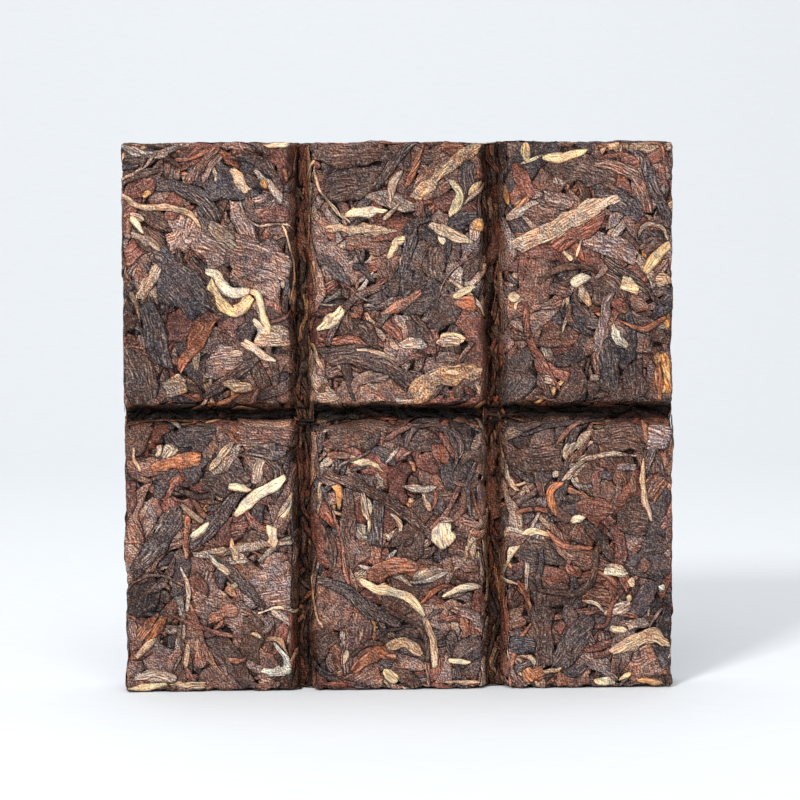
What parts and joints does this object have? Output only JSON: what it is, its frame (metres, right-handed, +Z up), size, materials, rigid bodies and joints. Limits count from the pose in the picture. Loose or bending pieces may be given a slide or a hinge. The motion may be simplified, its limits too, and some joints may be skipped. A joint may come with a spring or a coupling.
{
  "type": "raw pu-erh tea brick",
  "caption": "Thin square brick of pressed raw pu-erh tea leaves and stalks, with crossing grooves for breaking off pieces, standing on its lower edge.",
  "frame": {"origin": "middle of the foot, on the surface that the brick stands on", "axes": "+Z up, +Y through the thickness from the grooved face to the plain back, +X along the width, so the grooved face looks towards -Y"},
  "size_m": [0.101, 0.011, 0.101],
  "materials": {
    "pressed_tea": "matt dried leaf: slate brown, red-brown and taupe leaves with straw-coloured stalks and golden buds"
  },
  "bodies": {
    "root": {"tea_brick": "pressed_tea"}
  },
  "joints": []
}
